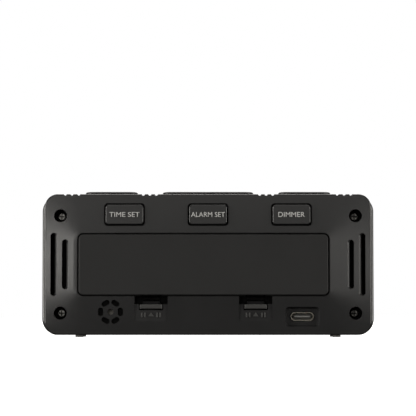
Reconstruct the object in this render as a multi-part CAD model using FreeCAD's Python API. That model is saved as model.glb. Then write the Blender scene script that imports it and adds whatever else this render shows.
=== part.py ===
"""Bedside digital alarm clock: a moulded tub with a smoked window, six keys and a battery door.

Frame: +Z up, -Y is the display side, +X to the right of someone reading the display.
The origin is the bottom centre of the whole clock, on the surface that it stands on. Millimetres.
"""
import math
import os

import FreeCAD
import Part

V = FreeCAD.Vector
OUT = "parts"

# ---------------------------------------------------------------- driving dimensions
FOOT_H = 0.8
BODY_H = 55.0
Z0 = FOOT_H                       # underside of the case
Z1 = Z0 + BODY_H                  # top face of the case
ZM = (Z0 + Z1) / 2
WALL = 1.9

REAR_W = 127.4                    # width at the rear edge
STEP_W = 128.4                    # width where the front flange begins, after the draft
FLANGE_W = 132.0
PLATEAU_Y = 11.5                  # flat middle of the crowned rear
FLANGE_Y = -5.6                   # rear shoulder of the front flange
FRONT_Y = -11.9
BODY_R = 5.0
FLANGE_R = 6.0
REAR_IN_Y = 9.3                   # inner face of the rear wall
SHOULDER_Y = -7.4                 # inner shoulder that the front frame rests on
IN_W = REAR_W - 2 * WALL          # 123.6
IN_H = BODY_H - 2 * WALL          # 50.7
FLANGE_IN_W = FLANGE_W - 2 * WALL

LENS_T = 2.0
LENS_PROUD = 0.4
LENS_GAP = 0.15
GLUE = 0.08                       # film of adhesive between the window and its frame

CROWN_LEAN = math.radians(2.7)    # lean of the rear around its flat middle
CROWN_X = 2.3                     # middle of the flat, which frames the battery door
CROWN_W, CROWN_H = 100.4, 25.2    # size of the flat
CROWN_CORNER = 3.0                # radius of its corners
CROWN_REACH = 26.0                # how far the leaning surface runs, past the edges of the case

DOOR_X = 1.8                      # the battery door sits a little off centre
DOOR_Z = 28.2
DOOR_OPEN_W = 98.5
DOOR_OPEN_H = 24.8
DOOR_OPEN_R = 2.4
DOOR_GAP = 0.6
DOOR_T = 1.6
DOOR_IN_Y = PLATEAU_Y - DOOR_T
LEDGE_Y = DOOR_IN_Y - 0.05
BAY_W = 93.6
BAY_H = 22.0
BAY_FLOOR_Y = -1.1
BAY_WALL = 1.5

LATCH_DX = 20.4                   # each side of the door's middle
LATCH_NOTCH_W = 13.0
LATCH_TRAVEL = 1.0

SCREW_X = 57.6
SCREW_DZ = 19.0
SCREW_SEAT_Y = 1.4
BOSS_FRONT_Y = 0.0
SHANK_R = 1.1

TOP_KEY_X = 38.0
TOP_KEY_Y = 1.6
TOP_KEY_H = 8.6
SIDE_KEY_W = 21.8
SNOOZE_W = 37.0
TOP_KEY_PROUD = 1.2
KEY_GAP = 0.65
KEY_TRAVEL = 0.5

REAR_KEY_X = 32.6
REAR_KEY_Z = 47.75
REAR_KEY_W = 15.9
REAR_KEY_H = 8.9
REAR_KEY_R = 1.4
REAR_KEY_PROUD = 0.8

KEY_BOARD_Z = 43.4
BOARD_T = 1.2
SWITCH = 4.5                      # side of a tactile switch
SNOOZE_SWITCH_X = 10.0
STEM_R = 0.9
STEM_TOP_Z = 49.0
STEM_REAR_Y = 7.2

RIB_X = (20.2, 22.75, 25.3, 50.6, 53.3, 55.9)
RIB_R = 0.65
RIB_END_Y = -3.8

VENTS = ((60.2, 24.7), (55.7, 19.5))   # distance from the middle, length
VENT_W = 2.6
VENT_THROAT = 1.6                 # width below the sloping mouth
VENT_SHIFT = 0.4                  # how much farther out the throat sits
VENT_SLOPE = 0.8                  # depth of the sloping mouth

SOUND_X = 38.0
SOUND_Z = 9.8
SOUND_RING = 3.85
BUZZER_R = 5.25

USB_X = -36.8
USB_Z = 8.0
USB_W = 8.94
USB_H = 3.26
USB_FLOOR_Y = 8.8
USB_MOUTH_Y = 9.1

POWER_SCREW_X = (-45.6, -28.0)
POWER_SCREW_Y = 0.5
LEAD_R = 0.45                     # insulated wire
LEAD_Y = 0.8

FOOT_X = 50.2
FOOT_Y = 8.2
FOOT_R = 1.6

CELL_R = 5.2
CELL_L = 44.5
CELL_Y = BAY_FLOOR_Y + CELL_R + 0.05
CELL_DZ = 5.4

BLOCK_W = 104.0
BLOCK_H = 36.0
BLOCK_FRONT_Y = -10.1
DISPLAY_BOARD_Y = -5.6            # front face of the display board
DIGIT_H = 30.0
DIGIT_W = 17.0
DIGIT_X = (-37.2, -15.8, 12.8, 34.2)   # middle of each digit
SEGMENT_T = 3.3
LAMP_X = 48.0                     # round lamps beside the digits
TIME_SHOWN = "1008"


# ---------------------------------------------------------------- shape helpers
def box(x0, x1, y0, y1, z0, z1):
    return Part.makeBox(x1 - x0, y1 - y0, z1 - z0, V(x0, y0, z0))


def cyl_x(radius, y, z, x0, x1):
    return Part.makeCylinder(radius, x1 - x0, V(x0, y, z), V(1, 0, 0))


def cyl_y(radius, x, z, y0, y1):
    return Part.makeCylinder(radius, y1 - y0, V(x, y0, z), V(0, 1, 0))


def cyl_z(radius, x, y, z0, z1):
    return Part.makeCylinder(radius, z1 - z0, V(x, y, z0), V(0, 0, 1))


def rounded_wire(centre, across, up, width, height, radius):
    """Rounded rectangle about centre, in the plane of two unit directions."""
    w, h = width / 2 - radius, height / 2 - radius
    diagonal = radius * math.sqrt(0.5)
    edges = []

    def at(a, b):
        return centre + across * a + up * b

    quarters = ((1, 1), (-1, 1), (-1, -1), (1, -1))
    for n, (sa, sb) in enumerate(quarters):
        side = at(sa * (w + radius), sb * h)
        end = at(sa * w, sb * (h + radius))
        middle = at(sa * (w + diagonal), sb * (h + diagonal))
        first, last = (side, end) if n % 2 == 0 else (end, side)
        if edges and (first - tail).Length > 1e-6:
            edges.append(Part.LineSegment(tail, first).toShape())
        edges.append(Part.Arc(first, middle, last).toShape())
        if n == 0:
            start = first
        tail = last
    if (start - tail).Length > 1e-6:
        edges.append(Part.LineSegment(tail, start).toShape())
    return Part.Wire(edges)


def wire_xz(x, z, width, height, radius, y):
    return rounded_wire(V(x, y, z), V(1, 0, 0), V(0, 0, 1), width, height, radius)


def plate_y(x, z, width, height, radius, y0, y1):
    """Rounded plate that faces along Y."""
    return Part.Face(wire_xz(x, z, width, height, radius, y0)).extrude(V(0, y1 - y0, 0))


def plate_z(x, y, width, height, radius, z0, z1):
    """Rounded plate that faces along Z."""
    wire = rounded_wire(V(x, y, z0), V(1, 0, 0), V(0, 1, 0), width, height, radius)
    return Part.Face(wire).extrude(V(0, 0, z1 - z0))


def tapered_y(x, z, size0, size1, y0, y1, shift=0.0):
    """Loft along Y between two rounded outlines, each (width, height, radius)."""
    return Part.makeLoft([wire_xz(x, z, *size0, y0), wire_xz(x + shift, z, *size1, y1)], True)


def prism_x(points, x0, x1):
    """Polygon of (y, z) points, extruded along X."""
    corners = [V(x0, y, z) for y, z in points]
    return Part.Face(Part.makePolygon(corners + corners[:1])).extrude(V(x1 - x0, 0, 0))


def prism_y(points, y0, y1):
    """Polygon of (x, z) points, extruded along Y."""
    corners = [V(x, y0, z) for x, z in points]
    return Part.Face(Part.makePolygon(corners + corners[:1])).extrude(V(0, y1 - y0, 0))


def fuse(*shapes):
    joined = shapes[0].multiFuse(list(shapes[1:]))
    return joined.removeSplitter()


def cut(shape, *tools):
    return shape.cut(list(tools))


def soften(shape, radius, test):
    """Fillet the edges that pass the test; the shape is kept as it is if that can't be built."""
    edges = [e for e in shape.Edges if test(e.BoundBox)]
    try:
        made = shape.makeFillet(radius, edges)
        if made.isValid() and made.Volume > 0.9 * shape.Volume:
            return made
    except Exception as problem:
        print("no fillet:", problem)
    print(f"kept sharp: {len(edges)} edges at {radius} mm")
    return shape


def route_points(points, radius):
    """Straight runs joined by tangent arcs, as edges."""
    edges, tail = [], points[0]
    for before, corner, after in zip(points, points[1:], points[2:]):
        u = (before - corner).normalize()
        w = (after - corner).normalize()
        half = math.acos(max(-1, min(1, u.dot(w)))) / 2
        back = radius / math.tan(half)
        start, end = corner + u * back, corner + w * back
        bisector = (u + w).normalize()
        middle = corner + bisector * (radius / math.sin(half) - radius)
        edges.append(Part.LineSegment(tail, start).toShape())
        edges.append(Part.Arc(start, middle, end).toShape())
        tail = end
    edges.append(Part.LineSegment(tail, points[-1]).toShape())
    return Part.Wire(edges)


def lead(points, wire_r, bend_r):
    """Round insulated wire along a route of points."""
    points = [V(*p) for p in points]
    path = route_points(points, bend_r)
    circle = Part.Wire(Part.makeCircle(wire_r, points[0], points[1] - points[0]))
    return path.makePipeShell([circle], True, True)


def write(name, *solids):
    flat = []
    for shape in solids:
        flat.extend(shape.Solids)
    assert flat, name
    for solid in flat:
        assert solid.isValid(), f"{name} is not valid"
        assert solid.Volume > 0, f"{name} is inside out"
    whole = flat[0] if len(flat) == 1 else Part.makeCompound(flat)
    whole.exportStep(os.path.join(OUT, name + ".step"))
    size = whole.BoundBox
    print(f"{name}: {len(flat)} solids, {size.XLength:.1f} x {size.YLength:.1f} x {size.ZLength:.1f}")


# ---------------------------------------------------------------- the crowned rear
def rear_y(x, z):
    """Height of the rear: a flat with rounded corners, and a lean all around it."""
    beside = max(0.0, abs(x - CROWN_X) - CROWN_W / 2 + CROWN_CORNER)
    beyond = max(0.0, abs(z - DOOR_Z) - CROWN_H / 2 + CROWN_CORNER)
    distance = max(0.0, math.hypot(beside, beyond) - CROWN_CORNER)
    return PLATEAU_Y - distance * math.tan(CROWN_LEAN)


def crowned_block(lift=0.0):
    """Everything on the display side of the crowned rear, raised by lift, as a solid."""
    top = PLATEAU_Y + lift
    low = top - CROWN_REACH * math.tan(CROWN_LEAN)
    flat = wire_xz(CROWN_X, DOOR_Z, CROWN_W, CROWN_H, CROWN_CORNER, top)
    rim = wire_xz(CROWN_X, DOOR_Z, CROWN_W + 2 * CROWN_REACH, CROWN_H + 2 * CROWN_REACH,
                  CROWN_CORNER + CROWN_REACH, low)
    below = Part.Face(rim).extrude(V(0, -40 - low, 0))
    return Part.makeLoft([flat, rim], True, True).fuse(below).removeSplitter()


# ---------------------------------------------------------------- case
def screw_places():
    return [(sx * SCREW_X, ZM + sz * SCREW_DZ) for sx in (-1, 1) for sz in (-1, 1)]


def latch_places():
    return [DOOR_X - LATCH_DX, DOOR_X + LATCH_DX]


def top_keys():
    """Name, middle in X and opening width of each key on the top."""
    return (("alarm_plus", -TOP_KEY_X, SIDE_KEY_W),
            ("snooze", 0.0, SNOOZE_W),
            ("volume_minus", TOP_KEY_X, SIDE_KEY_W))


def rear_keys():
    return (("dimmer", -REAR_KEY_X), ("alarm_set", 0.0), ("time_set", REAR_KEY_X))


def outer_shell(crown):
    body = tapered_y(0, ZM, (STEP_W + 0.4, BODY_H, BODY_R), (REAR_W - 0.1, BODY_H, BODY_R), FRONT_Y, 14.0)
    body = body.common(crown)
    body = soften(body, 0.6, lambda b: b.YMin > PLATEAU_Y - 1.4
                  and (abs(b.Center.x) > 60 or abs(b.Center.z - ZM) > 24))
    flange = plate_y(0, ZM, FLANGE_W, BODY_H, FLANGE_R, FRONT_Y, FLANGE_Y)
    flange = soften(flange, 1.3, lambda b: b.YMin > FLANGE_Y - 0.01)
    shell = fuse(body, flange)
    return soften(shell, 0.5, lambda b: b.YMax < FRONT_Y + 0.01)


def sound_holes():
    holes = [cyl_y(1.2, SOUND_X, SOUND_Z, REAR_IN_Y - 1, 14)]
    for n in range(6):
        slot = plate_y(SOUND_X + SOUND_RING, SOUND_Z, 2.0, 3.3, 0.95, REAR_IN_Y - 1, 14)
        slot.rotate(V(SOUND_X, 0, SOUND_Z), V(0, 1, 0), 60 * n)
        holes.append(slot)
    return holes


def side_vents():
    """Slots whose wall nearer the middle slopes down to a narrower throat."""
    vents = []
    for side in (-1, 1):
        for distance, length in VENTS:
            wide = (VENT_W, length, VENT_W / 2 - 0.02)
            narrow = (VENT_THROAT, length - 1.0, VENT_THROAT / 2 - 0.01)
            x, throat_x = side * distance, side * (distance + VENT_SHIFT)
            mouth_y = rear_y(distance, ZM) - 0.1
            throat_y = mouth_y - VENT_SLOPE
            vents.append(plate_y(x, ZM, *wide, mouth_y, 13.0))
            vents.append(tapered_y(x, ZM, wide, narrow, mouth_y, throat_y, shift=side * VENT_SHIFT))
            vents.append(plate_y(throat_x, ZM, *narrow, REAR_IN_Y - 0.5, throat_y))
    return vents


def latch_cutters():
    """The finger notch, the tab's slot, the spring's well and the thumb ramp of each latch."""
    cutters = []
    half = LATCH_NOTCH_W / 2
    ramp_low, ramp_high = 6.1, 12.8
    shallow, deep = 0.18, 0.5
    for x in latch_places():
        cutters.append(box(x - half, x + half, 4.9, 14, ramp_high, DOOR_Z - DOOR_OPEN_H / 2 + 0.2))
        cutters.append(box(x - 3.9, x + 3.9, 4.9, 10.8, 12.0, DOOR_Z - BAY_H / 2 + 0.5))
        cutters.append(box(x - 4.7, x + 4.7, 8.0, 14, SLOT_LOW_Z, ramp_high + 0.1))
        cutters.append(box(x - 3.3, x + 3.3, 7.8, TAB_BACK_Y + 0.1, CATCH_Z - 0.3, SLOT_LOW_Z + 0.1))
        ramp = prism_x([(rear_y(x, ramp_low) - shallow, ramp_low), (14, ramp_low), (14, ramp_high),
                        (rear_y(x, ramp_high) - deep, ramp_high)], x - half, x + half)
        ramp = soften(ramp, 0.9, lambda b: b.ZMax < ramp_low + 0.01 and b.XLength < 0.01)
        cutters.append(ramp)
    return cutters


def housing(crown):
    shell = outer_shell(crown)
    inside = [plate_y(0, ZM, IN_W, IN_H, BODY_R - WALL, FRONT_Y - 1, REAR_IN_Y),
              plate_y(0, ZM, FLANGE_IN_W, IN_H, FLANGE_R - WALL, FRONT_Y - 1, SHOULDER_Y)]
    shell = cut(shell, *inside)

    bay_half_w, bay_half_h = BAY_W / 2 + BAY_WALL, BAY_H / 2 + BAY_WALL
    added = [box(DOOR_X - bay_half_w, DOOR_X + bay_half_w, BAY_FLOOR_Y - BAY_WALL, REAR_IN_Y + 0.5,
                 DOOR_Z - bay_half_h, DOOR_Z + bay_half_h)]
    added += [cyl_y(3.9, x, z, BOSS_FRONT_Y, REAR_IN_Y + 0.5) for x, z in screw_places()]
    added.append(cyl_y(BUZZER_R + 0.95, SOUND_X, SOUND_Z, 4.5, REAR_IN_Y + 0.5))
    added.append(box(USB_X - 8.2, USB_X + 8.0, 7.0, REAR_IN_Y + 0.5, Z0 + 1, USB_Z + 5))
    added += [box(x - 8, x + 8, 3.7, REAR_IN_Y + 0.5, 9.2, DOOR_Z - BAY_H / 2) for x in latch_places()]
    added += [cyl_z(2.0, x, TOP_KEY_Y, DOOR_Z + bay_half_h - 0.5, KEY_BOARD_Z) for x in (-22, 22)]
    added += [box(x - 1.5, x + 1.5, -1.5, 5.0, Z0 + 1, USB_Z - USB_H / 2 - 1.0) for x in POWER_SCREW_X]
    shell = fuse(shell, *added)

    cutters = [
        plate_y(DOOR_X, DOOR_Z, DOOR_OPEN_W, DOOR_OPEN_H, DOOR_OPEN_R, LEDGE_Y, 14),
        plate_y(DOOR_X, DOOR_Z, BAY_W, BAY_H, 0.6, BAY_FLOOR_Y, 14),
        cyl_y(BUZZER_R + 0.1, SOUND_X, SOUND_Z, 3.0, REAR_IN_Y),
        tapered_y(USB_X, USB_Z - 0.2, (12.2, 6.5, 1.2), (14.6, 8.7, 1.9), USB_FLOOR_Y, 12.6),
        plate_y(USB_X, USB_Z, USB_W + 0.3, USB_H + 0.3, USB_H / 2 + 0.14, 6.0, 10.0),
    ]
    cutters += [cyl_y(2.55, x, z, SCREW_SEAT_Y, 14) for x, z in screw_places()]
    cutters += [cyl_y(1.3, x, z, BOSS_FRONT_Y - 1, SCREW_SEAT_Y) for x, z in screw_places()]
    cutters += [plate_z(x, TOP_KEY_Y, w, TOP_KEY_H, TOP_KEY_H / 2 - 0.02, Z1 - 4, Z1 + 2)
                for _, x, w in top_keys()]
    cutters += [plate_y(x, REAR_KEY_Z, REAR_KEY_W, REAR_KEY_H, REAR_KEY_R, REAR_IN_Y - 1, 14)
                for _, x in rear_keys()]
    cutters += [cyl_y(RIB_R, side * x, Z1 + 0.02, RIB_END_Y, 14) for side in (-1, 1) for x in RIB_X]
    cutters += sound_holes() + side_vents() + latch_cutters()
    cutters += [cyl_z(1.2, sx * FOOT_X, sy * FOOT_Y, Z0 - 1, Z0 + 1.1) for sx in (-1, 1) for sy in (-1, 1)]
    cutters += [cyl_z(0.75, x, TOP_KEY_Y, KEY_BOARD_Z - 2.4, KEY_BOARD_Z + 1) for x in (-22, 22)]
    cutters += [cyl_z(0.75, x, POWER_SCREW_Y, Z0 + 2, USB_Z) for x in POWER_SCREW_X]
    cutters += [cyl_x(LEAD_R + 0.2, LEAD_Y, z, -50, -44) for z in (DOOR_Z - CELL_DZ, DOOR_Z + CELL_DZ)]
    # slots that the two hooks of the battery door reach into, under the rear wall
    hook_z = DOOR_Z + DOOR_OPEN_H / 2
    cutters += [box(x - 4.3, x + 4.3, 7.2, LEDGE_Y + 0.1, hook_z - 3.0, hook_z + 1.9) for x in hook_places()]
    # slits that the contact plates stand in
    cutters += [box(DOOR_X + s * BAY_W / 2 - 0.3, DOOR_X + s * BAY_W / 2 + 0.3,
                    BAY_FLOOR_Y + 0.6, BAY_FLOOR_Y + 9.4, DOOR_Z - 10.2, DOOR_Z + 10.2) for s in (-1, 1)]
    return cut(shell, *cutters)


def hook_places():
    return [DOOR_X - 30.0, DOOR_X + 30.0]


def front_frame():
    plate = plate_y(0, ZM, FLANGE_IN_W - 0.3, IN_H - 0.3, FLANGE_R - WALL - LENS_GAP,
                    FRONT_Y + LENS_T - LENS_PROUD + GLUE, SHOULDER_Y)
    window = plate_y(0, ZM, BLOCK_W + 1.0, BLOCK_H + 1.0, 1.0, FRONT_Y, 0)
    posts = [cyl_y(3.2, x, z, SHOULDER_Y - 0.5, BOSS_FRONT_Y) for x, z in screw_places()]
    pegs = [cyl_y(2.2, x, z, SHOULDER_Y - 0.5, DISPLAY_BOARD_Y) for x, z in board_screw_places()]
    pilot = [cyl_y(SHANK_R, x, z, SHOULDER_Y + 1.0, 1) for x, z in screw_places()]
    pilot += [cyl_y(0.75, x, z, DISPLAY_BOARD_Y - 2.6, 1) for x, z in board_screw_places()]
    return cut(cut(fuse(plate, *posts, *pegs), window), *pilot)


def board_screw_places():
    return [(sx * 45.0, ZM + sz * 21.5) for sx in (-1, 1) for sz in (-1, 1)]


def lens():
    y0 = FRONT_Y - LENS_PROUD
    made = plate_y(0, ZM, FLANGE_IN_W - 2 * LENS_GAP, IN_H - 2 * LENS_GAP, FLANGE_R - WALL - LENS_GAP,
                   y0, y0 + LENS_T)
    return soften(made, 0.3, lambda b: b.YMax < y0 + 0.01)


# ---------------------------------------------------------------- battery door
def battery_door():
    w, h = DOOR_OPEN_W - 2 * DOOR_GAP, DOOR_OPEN_H - 2 * DOOR_GAP
    plate = plate_y(DOOR_X, DOOR_Z, w, h, DOOR_OPEN_R - DOOR_GAP, DOOR_IN_Y, PLATEAU_Y)
    plate = soften(plate, 0.35, lambda b: b.YMin > PLATEAU_Y - 0.01)
    top = DOOR_Z + h / 2
    hooks = []
    for x in hook_places():
        hooks.append(box(x - 3.5, x + 3.5, 8.2, DOOR_IN_Y + 0.2, top - 2.4, top - 0.9))
        hooks.append(box(x - 3.5, x + 3.5, 8.2, 9.2, top - 2.4, top + 1.5))
    return fuse(plate, *hooks)


SPRING_T = 0.8
SPRING_W = 6.6
SPRING_HIGH_Z = 17.0
SPRING_LOW_Z = 13.1
SPRING_BEND_Y = 7.5
TAB_BACK_Y = 9.0
CATCH_Z = 9.8                     # lower end of the leaf, hooked behind the rear wall
SLOT_LOW_Z = 10.45


def latch_spring(x):
    """U-shaped leaf with the catch at its free end; it joins the latch tab to the door."""
    mid_z = (SPRING_HIGH_Z + SPRING_LOW_Z) / 2
    outer_r = (SPRING_HIGH_Z - SPRING_LOW_Z) / 2
    half = SPRING_W / 2
    bend = cut(cyl_x(outer_r, SPRING_BEND_Y, mid_z, x - half, x + half),
               cyl_x(outer_r - SPRING_T, SPRING_BEND_Y, mid_z, x - half, x + half),
               box(x - half - 1, x + half + 1, SPRING_BEND_Y, SPRING_BEND_Y + 5, mid_z - 5, mid_z + 5))
    high = box(x - half, x + half, SPRING_BEND_Y, DOOR_IN_Y, SPRING_HIGH_Z - SPRING_T, SPRING_HIGH_Z)
    low = box(x - half, x + half, SPRING_BEND_Y, TAB_BACK_Y, SPRING_LOW_Z, SPRING_LOW_Z + SPRING_T)
    leg = box(x - 3.0, x + 3.0, TAB_BACK_Y - 0.8, TAB_BACK_Y, CATCH_Z, SPRING_LOW_Z + 0.2)
    return fuse(bend, high, low, leg)


def latch_tab(x):
    """Finger bar of a latch, with the arm that meets its spring."""
    face_y = rear_y(x, 11.7) - 0.1
    bar = box(x - 4.3, x + 4.3, TAB_BACK_Y, face_y, 11.0, 12.7)
    bar = soften(bar, 0.3, lambda b: b.YMin > face_y - 0.01)
    arm = box(x - SPRING_W / 2, x + SPRING_W / 2, TAB_BACK_Y, TAB_BACK_Y + 0.9, 12.3,
              SPRING_LOW_Z + SPRING_T)
    return fuse(bar, arm)


# ---------------------------------------------------------------- keys and switches
def top_key(x, width, posts):
    w, h = width - 2 * KEY_GAP, TOP_KEY_H - 2 * KEY_GAP
    under_z = Z1 - WALL - 0.05
    cap = plate_z(x, TOP_KEY_Y, w, h, h / 2 - 0.02, under_z - 0.5, Z1 + TOP_KEY_PROUD)
    cap = soften(cap, 0.55, lambda b: b.ZMin > Z1 + TOP_KEY_PROUD - 0.01)
    rim = plate_z(x, TOP_KEY_Y, w + 3.0, h + 3.0, h / 2 + 1.4, under_z - 1.0, under_z)
    hollow = plate_z(x, TOP_KEY_Y, w - 2.6, h - 2.6, h / 2 - 1.4, under_z - 2, Z1 - 0.5)
    stalks = [cyl_z(1.5, px, TOP_KEY_Y, STEM_TOP_Z, Z1 - 0.2) for px in posts]
    return fuse(cut(fuse(cap, rim), hollow), *stalks)


def rear_key(x, crown_high):
    w, h = REAR_KEY_W - 2 * KEY_GAP, REAR_KEY_H - 2 * KEY_GAP
    cap = plate_y(x, REAR_KEY_Z, w, h, REAR_KEY_R - 0.3, REAR_IN_Y - 0.5, 14)
    cap = cap.common(crown_high)
    cap = soften(cap, 0.3, lambda b: b.YMin > PLATEAU_Y - 0.2
                 and (abs(b.Center.x - x) > 4 or abs(b.Center.z - REAR_KEY_Z) > 2))
    rim = plate_y(x, REAR_KEY_Z, w + 2.6, h + 2.6, 1.8, REAR_IN_Y - 1.1, REAR_IN_Y - 0.1)
    hollow = plate_y(x, REAR_KEY_Z, w - 2.6, h - 2.6, 0.6, REAR_IN_Y - 2, REAR_IN_Y + 1.0)
    stalk = cyl_y(1.5, x, REAR_KEY_Z, STEM_REAR_Y, REAR_IN_Y + 1.4)
    return fuse(cut(fuse(cap, rim), hollow), stalk)


def top_switch(x):
    z0 = KEY_BOARD_Z + BOARD_T
    body = box(x - SWITCH / 2, x + SWITCH / 2, TOP_KEY_Y - SWITCH / 2, TOP_KEY_Y + SWITCH / 2, z0, z0 + 3.0)
    return cut(body, cyl_z(STEM_R + 0.1, x, TOP_KEY_Y, z0 + 1.1, z0 + 4))


def top_stem(x):
    return cyl_z(STEM_R, x, TOP_KEY_Y, KEY_BOARD_Z + BOARD_T + 1.8, STEM_TOP_Z)


def rear_switch(x):
    z0 = KEY_BOARD_Z + BOARD_T
    body = box(x - SWITCH / 2, x + SWITCH / 2, 3.0, 6.2, z0, z0 + 5.3)
    return cut(body, cyl_y(STEM_R + 0.1, x, REAR_KEY_Z, 4.0, 8.0))


def rear_stem(x):
    return cyl_y(STEM_R, x, REAR_KEY_Z, 4.6, STEM_REAR_Y)


# ---------------------------------------------------------------- display
SEGMENTS = {"0": "abcdef", "1": "bc", "8": "abcdefg"}


def segment_outlines(x):
    """Letter and corner points of the seven segments of one digit, in X and Z."""
    half_w, half_h = DIGIT_W / 2 - SEGMENT_T / 2, DIGIT_H / 2 - SEGMENT_T / 2
    t, gap = SEGMENT_T / 2, 0.35
    flat = {"a": half_h, "g": 0.0, "d": -half_h}
    upright = {"b": (half_w, 1), "c": (half_w, -1), "e": (-half_w, -1), "f": (-half_w, 1)}
    found = {}
    for name, z in flat.items():
        a, b = -half_w + gap, half_w - gap
        found[name] = [(x + px, ZM + z + pz) for px, pz in
                       ((a, 0), (a + t, t), (b - t, t), (b, 0), (b - t, -t), (a + t, -t))]
    for name, (px, up) in upright.items():
        a, b = sorted((up * gap, up * (half_h - gap)))
        found[name] = [(x + px + dx, ZM + pz) for dx, pz in
                       ((0, a), (t, a + t), (t, b - t), (0, b), (-t, b - t), (-t, a + t))]
    return found


def light_guides():
    """Solids of the lit and of the unlit windows of the digits."""
    y0, y1 = BLOCK_FRONT_Y, DISPLAY_BOARD_Y - 0.5
    lit, dark = [], []
    for x, shown in zip(DIGIT_X, TIME_SHOWN):
        for name, outline in segment_outlines(x).items():
            solid = prism_y(outline, y0, y1)
            (lit if name in SEGMENTS[shown] else dark).append(solid)
    colon_x = (DIGIT_X[1] + DIGIT_X[2]) / 2
    lit += [cyl_y(1.5, colon_x, ZM + dz, y0, y1) for dz in (-6.0, 6.0)]
    lit.append(cyl_y(1.2, LAMP_X, ZM + 10.0, y0, y1))
    dark.append(cyl_y(1.2, LAMP_X, ZM - 10.0, y0, y1))
    return lit, dark


def digit_block(guides):
    block = plate_y(0, ZM, BLOCK_W, BLOCK_H, 0.8, BLOCK_FRONT_Y, DISPLAY_BOARD_Y)
    wells = [g.copy() for g in guides]
    return cut(block, *wells, *[_behind(g) for g in guides])


def _behind(guide):
    """Pocket between a window and the board, where its light source stands."""
    c = guide.BoundBox.Center
    return box(c.x - 1.0, c.x + 1.0, DISPLAY_BOARD_Y - 1.0, DISPLAY_BOARD_Y + 0.5, c.z - 1.0, c.z + 1.0)


def light_chips(guides):
    chips = []
    low_y = DISPLAY_BOARD_Y - 0.45
    for g in guides:
        c = g.BoundBox.Center
        chips.append(box(c.x - 0.6, c.x + 0.6, low_y, DISPLAY_BOARD_Y, c.z - 0.4, c.z + 0.4))
    return chips


def display_board():
    board = plate_y(0, ZM, 105.0, 48.0, 1.0, DISPLAY_BOARD_Y, DISPLAY_BOARD_Y + BOARD_T)
    return cut(board, *[cyl_y(0.95, x, z, -8, 0) for x, z in board_screw_places()])


def board_parts():
    """Low packages on the back of the display board."""
    y = DISPLAY_BOARD_Y + BOARD_T
    return [box(-8, 8, y, y + 1.2, 24, 34), box(24, 30, y, y + 1.0, 30, 36),
            cyl_y(2.2, -26, 32, y, y + 1.1), box(-40, -36, y, y + 1.0, 22, 27)]


# ---------------------------------------------------------------- screws
def pan_screw(at, direction, head_r, head_h, shank_r, length):
    """Pan-head screw whose head rests at the point `at`, with its shank along direction."""
    d = V(*direction).normalize()
    at = V(*at)
    head = Part.makeCylinder(head_r, head_h, at - d * head_h, d)
    head = soften(head, head_h * 0.45, lambda b: (b.Center - (at - d * head_h)).Length < 0.01)
    shank = Part.makeCylinder(shank_r, length, at, d)
    side = V(0, 0, 1) if abs(d.z) < 0.5 else V(1, 0, 0)
    other = d.cross(side)
    arms = []
    for a, b in ((side, other), (other, side)):
        corner = at - d * (head_h + 0.1) - a * head_r * 0.62 - b * head_r * 0.13
        points = [corner, corner + a * head_r * 1.24, corner + a * head_r * 1.24 + b * head_r * 0.26,
                  corner + b * head_r * 0.26]
        arms.append(Part.Face(Part.makePolygon(points + points[:1])).extrude(d * (head_h * 0.7)))
    return cut(fuse(head, shank), *arms)


# ---------------------------------------------------------------- battery bay
def cell(x0, z, nub_side):
    """One AAA cell from x0 to x0 + CELL_L: (steel can with its nub, printed sleeve)."""
    nub, end = 0.9, 0.35
    lo, hi = (x0, x0 + CELL_L - nub) if nub_side > 0 else (x0 + nub, x0 + CELL_L)
    can = cyl_x(CELL_R - 0.15, CELL_Y, z, lo, hi)
    tip_ends = (hi - 1, hi + nub) if nub_side > 0 else (lo - nub, lo + 1)
    tip = cyl_x(1.9, CELL_Y, z, *tip_ends)
    sleeve = cut(cyl_x(CELL_R, CELL_Y, z, lo + end, hi - end),
                 cyl_x(CELL_R - 0.15, CELL_Y, z, lo, hi))
    return fuse(can, tip), sleeve


def coil_contact(x, z, side):
    """Conical coil that presses on a cell's flat end, as a thin cone; side is the way it points."""
    height, wide, narrow, wire = 2.5, 3.7, 2.6, 0.6
    at, way = V(x, CELL_Y, z), V(side, 0, 0)
    outer = Part.makeCone(wide, narrow, height, at, way)
    return cut(outer, Part.makeCone(wide - wire, narrow - wire, height, at, way))


def bay_contacts():
    """Contact plates at the two ends of the bay, named as fitted."""
    lo, hi = DOOR_X - BAY_W / 2, DOOR_X + BAY_W / 2
    y0, y1 = BAY_FLOOR_Y + 0.8, BAY_FLOOR_Y + 9.2
    upper, lower = DOOR_Z + CELL_DZ, DOOR_Z - CELL_DZ
    negative = box(lo - 0.2, lo + 0.2, y0, y1, upper - 4.3, upper + 4.3)
    positive = box(lo - 0.2, lo + 0.2, y0, y1, lower - 4.3, lower + 4.3)
    bridge = box(hi - 0.2, hi + 0.2, y0, y1, lower - 4.3, upper + 4.3)
    dimple_p = cyl_x(2.2, CELL_Y, lower, lo + 0.2, lo + 1.0)
    dimple_b = cyl_x(2.2, CELL_Y, upper, hi - 1.0, hi - 0.2)
    return negative, fuse(positive, dimple_p), fuse(bridge, dimple_b)


# ---------------------------------------------------------------- socket, sounder, feet
def usb_shell():
    outer = plate_y(USB_X, USB_Z, USB_W, USB_H, USB_H / 2 - 0.01, 1.7, USB_MOUTH_Y)
    inner = plate_y(USB_X, USB_Z, USB_W - 0.6, USB_H - 0.6, USB_H / 2 - 0.31, 2.0, 12)
    return cut(outer, inner)


def usb_tongue():
    base = plate_y(USB_X, USB_Z, USB_W - 0.7, USB_H - 0.7, USB_H / 2 - 0.37, 2.0, 3.6)
    tongue = plate_y(USB_X, USB_Z, 6.3, 0.6, 0.2, 3.4, USB_MOUTH_Y - 0.7)
    return fuse(base, tongue)


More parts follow.
